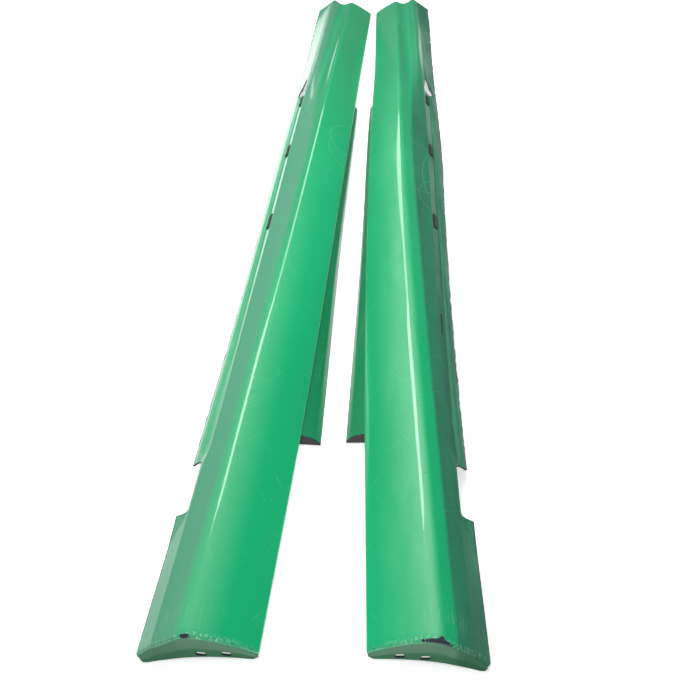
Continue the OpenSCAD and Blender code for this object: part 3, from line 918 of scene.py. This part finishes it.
def finish_of(name):
    """A material made once and shared by its pieces."""
    made = bpy.data.materials.get(name)
    if made:
        return made
    makers = {"green_gloss_paint": skirt_paint, "moulded_inside": bare_inside,
              "green_flange_paint": flange_paint, "flaking_strip": flaking_strip,
              "black_plastic": black_plastic}
    return makers[name](bpy.context.scene.skirt_finish)


def dress(mesh, *names):
    """Puts these materials in a mesh's slots, in order."""
    mesh.materials.clear()
    for name in names:
        mesh.materials.append(finish_of(name))


# ---------------------------------------------------------------- operators

class SKIRT_OT_covers(bpy.types.Operator):
    """Build both painted covers with their end faces, slots, windows and notches"""

    bl_idname = "skirt.covers"
    bl_label = "Covers"

    def execute(self, context):
        sizes = context.scene.skirt_sizes
        for side in SIDES:
            points = place(sizes, side, cover_points(sizes))
            thing = new_object(side + "_skin", sheet_mesh(side + "_skin", points, side == "left"))
            dress(thing.data, "green_gloss_paint", "moulded_inside")
            cutter = new_object(side + "_cutters", cutters(sizes, side))
            wall_and_cut(thing, sizes.wall, cutter)
            bpy.data.objects.remove(cutter)
            smooth(thing.data, 38)
            mark_lie(sizes, side, thing.data)
            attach(thing, side + "_skirt")
            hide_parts(side + "_cover", side + "_near_plate", side + "_far_plate")
        return {"FINISHED"}


class SKIRT_OT_lower_flanges(bpy.types.Operator):
    """Build the folded strip that stands out below each face"""

    bl_idname = "skirt.lower_flanges"
    bl_label = "Lower flanges"

    def execute(self, context):
        sizes = context.scene.skirt_sizes
        mm = sizes.mm
        t = np.linspace(*FLANGE_RUN, 170)
        at = Lines(sizes, t)
        top = at.lower + [0.6, -mm("lip_depth") - 0.1]
        edge = np.stack([at.lower[:, 0] - mm("flange_reach") * along(REACH, t),
                         mm("reach_rise") * along(RISE, t)], -1)
        fold = mix(edge, top, 0.42) + [-3, 3.5]
        hem = edge + [0.4, 0.0] - [0, 1.2]
        corners = np.stack([hem, edge + [0, 0.6], fold, top], 1)
        reach = np.tile([0, 0.8, 4.0, 0], (len(t), 1))
        section = rounded(corners, reach, [1, 4, 7, 1], [0, 1, 7, 7])
        own = laid(at, section)
        for side in SIDES:
            name = side + "_flange_strip"
            thing = new_object(name, sheet_mesh(name, place(sizes, side, own), side == "left"))
            dress(thing.data, "green_flange_paint", "moulded_inside")
            wall_and_cut(thing, sizes.flange_wall)
            smooth(thing.data, 45)
            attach(thing, side + "_skirt")
            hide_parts(side + "_lower_flange")
        return {"FINISHED"}


class SKIRT_OT_edge_strips(bpy.types.Operator):
    """Build the ragged strip along each rim"""

    bl_idname = "skirt.edge_strips"
    bl_label = "Edge strips"

    def execute(self, context):
        sizes = context.scene.skirt_sizes
        mm = sizes.mm
        turns = np.radians(np.arange(0, 360, 30))
        ring = np.stack([np.cos(turns), np.sin(turns)], -1)
        ring = np.sign(ring) * np.abs(ring) ** 0.6
        t = np.linspace(*SEAL_RUN, 900)
        at = Lines(sizes, t)
        over, out = unit(at.upper - at.shoulder), left_of(at.shoulder, at.upper)
        for side in SIDES:
            chance = np.random.default_rng(11 if side == "left" else 29)
            broad = np.interp(t, np.linspace(*SEAL_RUN, 160), chance.uniform(0.45, 1, 160))
            fine = np.interp(t, np.linspace(*SEAL_RUN, 800), chance.uniform(-0.14, 0.14, 800))
            lost = np.interp(t, np.linspace(*SEAL_RUN, 300),
                             (chance.random(300) > 0.9).astype(float))
            wide = mm("seal_width") * np.clip(broad + fine - 0.7 * lost, 0.08, 1)
            thick = mm("seal_thick") * (0.42 + 0.1 * broad) / 2
            middle = at.upper - out * mm("wall") / 2
            centre = middle + over * (wide / 2 - 0.6)[:, None]
            section = (centre[:, None] + over[:, None] * ring[None, :, :1]
                       * (wide / 2 + 0.6)[:, None, None]
                       + out[:, None] * ring[None, :, 1:] * thick[:, None, None])
            own = place(sizes, side, laid(at, section))
            name = side + "_edge_strip"
            thing = new_object(name, tube_mesh(name, own, side == "right"))
            dress(thing.data, "flaking_strip")
            smooth(thing.data, 50)
            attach(thing, side + "_skirt")
            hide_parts(side + "_edge_seal")
        return {"FINISHED"}


class SKIRT_OT_fittings(bpy.types.Operator):
    """Give the clips, stops and ribs of the frame their finishes"""

    bl_idname = "skirt.fittings"
    bl_label = "Clips, stops and ribs"

    def execute(self, context):
        for side in SIDES:
            for part in ("clip_1", "clip_2", "clip_3", "flange_stop"):
                dress(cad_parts[f"{side}_{part}"].data, "black_plastic")
            dress(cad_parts[f"{side}_ribs"].data, "moulded_inside")
        return {"FINISHED"}


class SKIRT_OT_studio(bpy.types.Operator):
    """Set the floor, the lights and the camera"""

    bl_idname = "skirt.studio"
    bl_label = "Studio"

    def execute(self, context):
        scene, look = context.scene, context.scene.skirt_studio
        side = np.array([-6.0, 6.0])
        x, y = np.meshgrid(side, side)
        floor = new_object("studio_floor", sheet_mesh(
            "studio_floor", np.stack([x, y, 0 * x - 0.0006], -1), False))
        floor.data.materials.append(studio_floor(look))

        world = bpy.data.worlds.new("studio_surround")
        world.use_nodes = True
        back = world.node_tree.nodes["Background"]
        back.inputs["Color"].default_value = (0.95, 0.98, 1.0, 1)
        back.inputs["Strength"].default_value = look.sky
        scene.world = world
        strip = self.panel("strip_light", look.strip, (0.0, -0.1, 0.95), (0, -0.1, 0), (0.4, 3.0))
        strip.visible_glossy = False
        broad = self.panel("left_panel", look.side, (-3.2, 2.3, 1.7), (0, 0, 0), (4.2, 2.3))
        broad.visible_glossy = False
        self.panel("high_panel", look.front, (-1.55, 2.75, 3.95), (0, 0, 0), (1.1, 1.9), -21)
        self.panel("far_panel", look.front / 4, (-0.85, 3.65, 2.45), (0, 0, 0), (0.6, 1.9), -21)

        lens = bpy.data.cameras.new("camera")
        lens.sensor_width = 36.0
        lens.lens = CAMERA_LENS
        lens.clip_start = 0.02
        camera = new_object("camera", lens)
        camera.matrix_world = (
            Matrix.Translation(CAMERA_AT)
            @ Matrix.Rotation(math.radians(CAMERA_HEADING), 4, "Z")
            @ Matrix.Rotation(math.radians(90 - CAMERA_DOWN), 4, "X")
            @ Matrix.Rotation(math.radians(CAMERA_ROLL), 4, "Z"))
        scene.camera = camera
        scene.view_settings.view_transform = "Standard"
        return {"FINISHED"}

    def panel(self, name, power, at, aim, size, turn=0):
        """A flat light that faces a point, turned by some degrees about its own axis and hidden
        from the camera itself."""
        light = bpy.data.lights.new(name, "AREA")
        light.shape = "RECTANGLE"
        light.size, light.size_y = size
        light.energy = power
        thing = new_object(name, light)
        back = Vector(at) - Vector(aim)
        facing = back.to_track_quat("Z", "Y").to_matrix().to_4x4()
        thing.matrix_world = (Matrix.Translation(at) @ facing
                              @ Matrix.Rotation(math.radians(turn), 4, "Z"))
        thing.visible_camera = False
        return thing


class SKIRT_PT_panel(bpy.types.Panel):
    """Sidebar panel with the sizes, the finishes and a button for each group of pieces"""

    bl_idname = "SKIRT_PT_panel"
    bl_label = "Side Skirts"
    bl_space_type = "VIEW_3D"
    bl_region_type = "UI"
    bl_category = "Side Skirts"

    def draw(self, context):
        layout, scene = self.layout, context.scene
        for group, title in ((scene.skirt_sizes, "Sizes"), (scene.skirt_finish, "Finish"),
                             (scene.skirt_studio, "Studio")):
            box = layout.box()
            box.label(text=title)
            for name in type(group).__annotations__:
                box.prop(group, name)
        for operator in OPERATORS:
            layout.operator(operator.bl_idname)


OPERATORS = (SKIRT_OT_covers, SKIRT_OT_lower_flanges, SKIRT_OT_edge_strips, SKIRT_OT_fittings,
             SKIRT_OT_studio)
GROUPS = {"skirt_sizes": SkirtSizes, "skirt_finish": SkirtFinish, "skirt_studio": StudioLook}


def register():
    """Makes the property groups, the operators and the panel known to Blender."""
    for name, group in GROUPS.items():
        bpy.utils.register_class(group)
        setattr(bpy.types.Scene, name, bpy.props.PointerProperty(type=group))
    for item in (*OPERATORS, SKIRT_PT_panel):
        bpy.utils.register_class(item)


def unregister():
    """Takes back what register did, in the opposite order."""
    for item in (SKIRT_PT_panel, *reversed(OPERATORS)):
        bpy.utils.unregister_class(item)
    for name, group in reversed(GROUPS.items()):
        delattr(bpy.types.Scene, name)
        bpy.utils.unregister_class(group)


def main():
    """Builds every piece and the studio."""
    register()
    bpy.ops.skirt.covers()
    bpy.ops.skirt.lower_flanges()
    bpy.ops.skirt.edge_strips()
    bpy.ops.skirt.fittings()
    bpy.ops.skirt.studio()
    bpy.context.view_layer.update()


if __name__ == "__main__":
    main()
